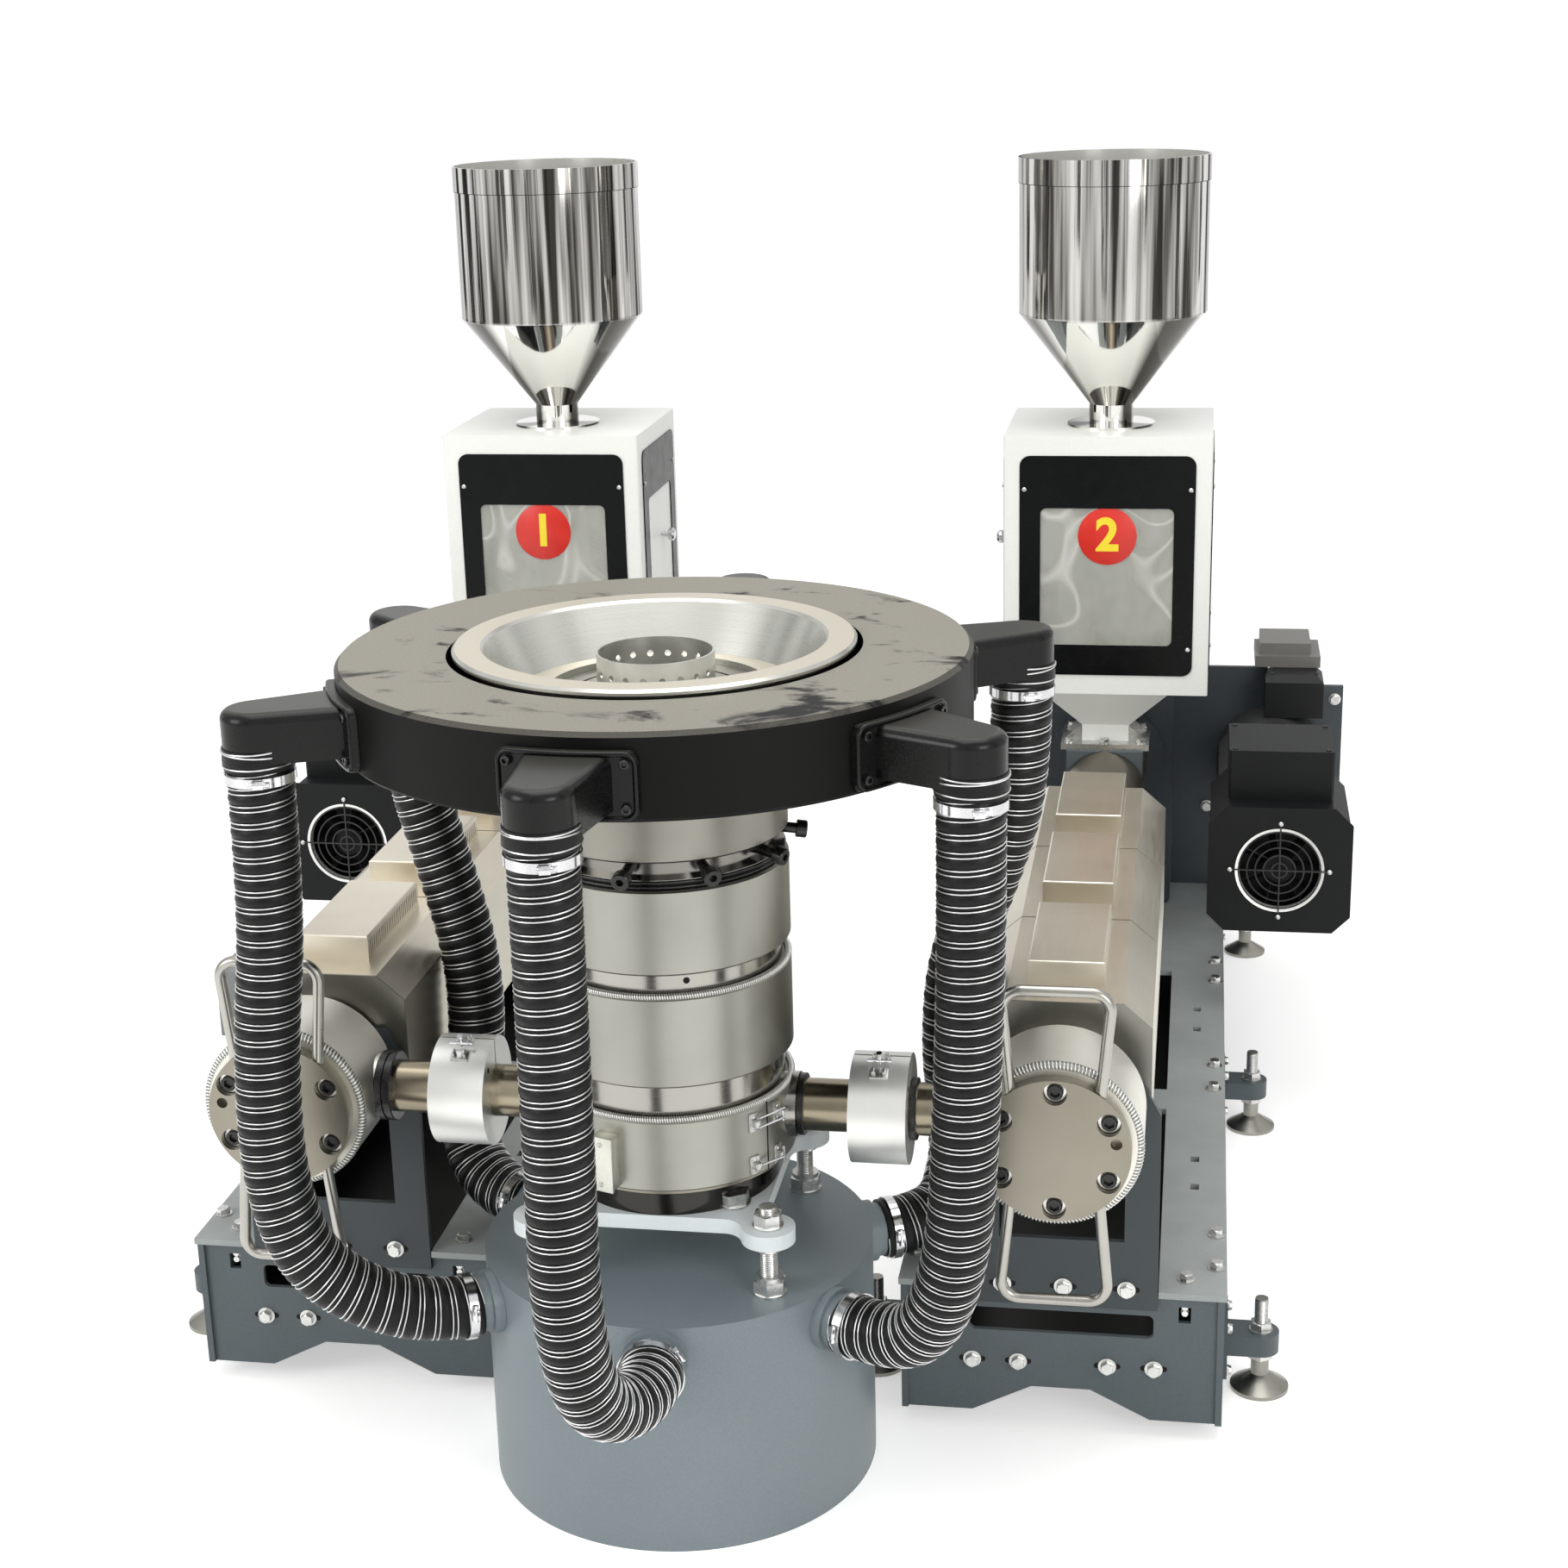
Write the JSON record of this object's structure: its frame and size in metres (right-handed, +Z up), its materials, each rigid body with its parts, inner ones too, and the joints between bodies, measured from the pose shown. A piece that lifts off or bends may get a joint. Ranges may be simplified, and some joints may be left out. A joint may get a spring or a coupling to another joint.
{
  "type": "co-extrusion blown-film unit",
  "caption": "Two mirrored plastic extruders feed a heated vertical die whose air ring is fed by hoses from a plenum tank, to blow tubular film.",
  "frame": {"origin": "on the floor, under the vertical axis of the die and tank", "axes": "+X towards extruder B's side, +Y back along the barrels, away from the die, +Z up"},
  "size_m": [2.07, 2.9272, 1.79],
  "materials": {
    "band_metal": "satin metal heater jacket",
    "bare_aluminium": "turned bare aluminium",
    "barrel_steel": "heat-browned brushed steel",
    "bin_stainless": "brushed stainless sheet",
    "cover_stainless": "brushed warm-grey stainless sheet",
    "die_steel": "polished hard chrome",
    "fan_plastic": "black moulded plastic",
    "grey_paint": "mid-grey machine paint",
    "guard_chrome": "plated wire",
    "hopper_mirror": "mirror-polished stainless",
    "hose_black": "black hose with wire spirals",
    "motor_black": "matte black paint",
    "pale_slate_paint": "satin light blue-grey paint",
    "panel_black": "gloss black panel",
    "ring_black": "satin black paint with a dusty bloom on top",
    "slate_paint": "satin dark blue-grey machine paint",
    "tank_paint": "satin slate blue-grey paint",
    "white_powder": "white powder coat",
    "window_clear": "clear pane",
    "zinc_steel": "zinc-plated steel"
  },
  "bodies": {
    "root": {"air_ring_casing": "ring_black", "air_ring_floor": "bare_aluminium", "air_ring_lip": "bare_aluminium", "barrel_supports": "slate_paint", "barrels": "barrel_steel", "bubble_cage": "bare_aluminium", "coupling_housings": "motor_black", "cover_boxes": "cover_stainless", "cover_end_panels": "slate_paint", "die_body": "die_steel", "die_head": "band_metal", "die_heater_bands": "band_metal", "die_stand_plate": "pale_slate_paint", "die_stand_studs": "zinc_steel", "drive_plates": "slate_paint", "fan_guards": "guard_chrome", "fan_shrouds": "motor_black", "feed_blocks": "slate_paint", "feed_flanges": "zinc_steel", "feed_funnels": "white_powder", "foot_brackets": "slate_paint", "frame_end_plates": "slate_paint", "frame_rails": "slate_paint", "frame_side_plates": "slate_paint", "frame_trays": "motor_black", "gearboxes": "slate_paint", "heater_covers": "cover_stainless", "hoppers": "hopper_mirror", "hose_1": "hose_black", "hose_2": "hose_black", "hose_3": "hose_black", "hose_4": "hose_black", "hose_5": "hose_black", "hose_6": "hose_black", "inlet_elbows": "ring_black", "junction_box": "grey_paint", "levelling_feet": "zinc_steel", "melt_pipes": "barrel_steel", "motors": "motor_black", "nose_blocks": "band_metal", "nose_flanges": "bare_aluminium", "nose_handles": "bin_stainless", "pipe_heaters": "band_metal", "scale_boxes": "white_powder", "tank_base": "tank_paint", "tank_lid": "tank_paint", "tank_spigots": "tank_paint", "tank_wall": "tank_paint", "terminal_boxes": "motor_black", "weigh_bins": "bin_stainless", "window_panels": "panel_black", "window_panes": "window_clear"},
    "rotor_a": {"fan_rotor_a": "fan_plastic"},
    "rotor_b": {"fan_rotor_b": "fan_plastic"}
  },
  "joints": [
    {"name": "rotor_a_spin", "type": "hinge", "parent": "root", "child": "rotor_a", "pos_m": [-0.891, 1.19, 0.538], "axis": [0, 1, 0], "continuous": true},
    {"name": "rotor_b_spin", "type": "hinge", "parent": "root", "child": "rotor_b", "pos_m": [0.891, 1.19, 0.538], "axis": [0, 1, 0], "continuous": true}
  ]
}
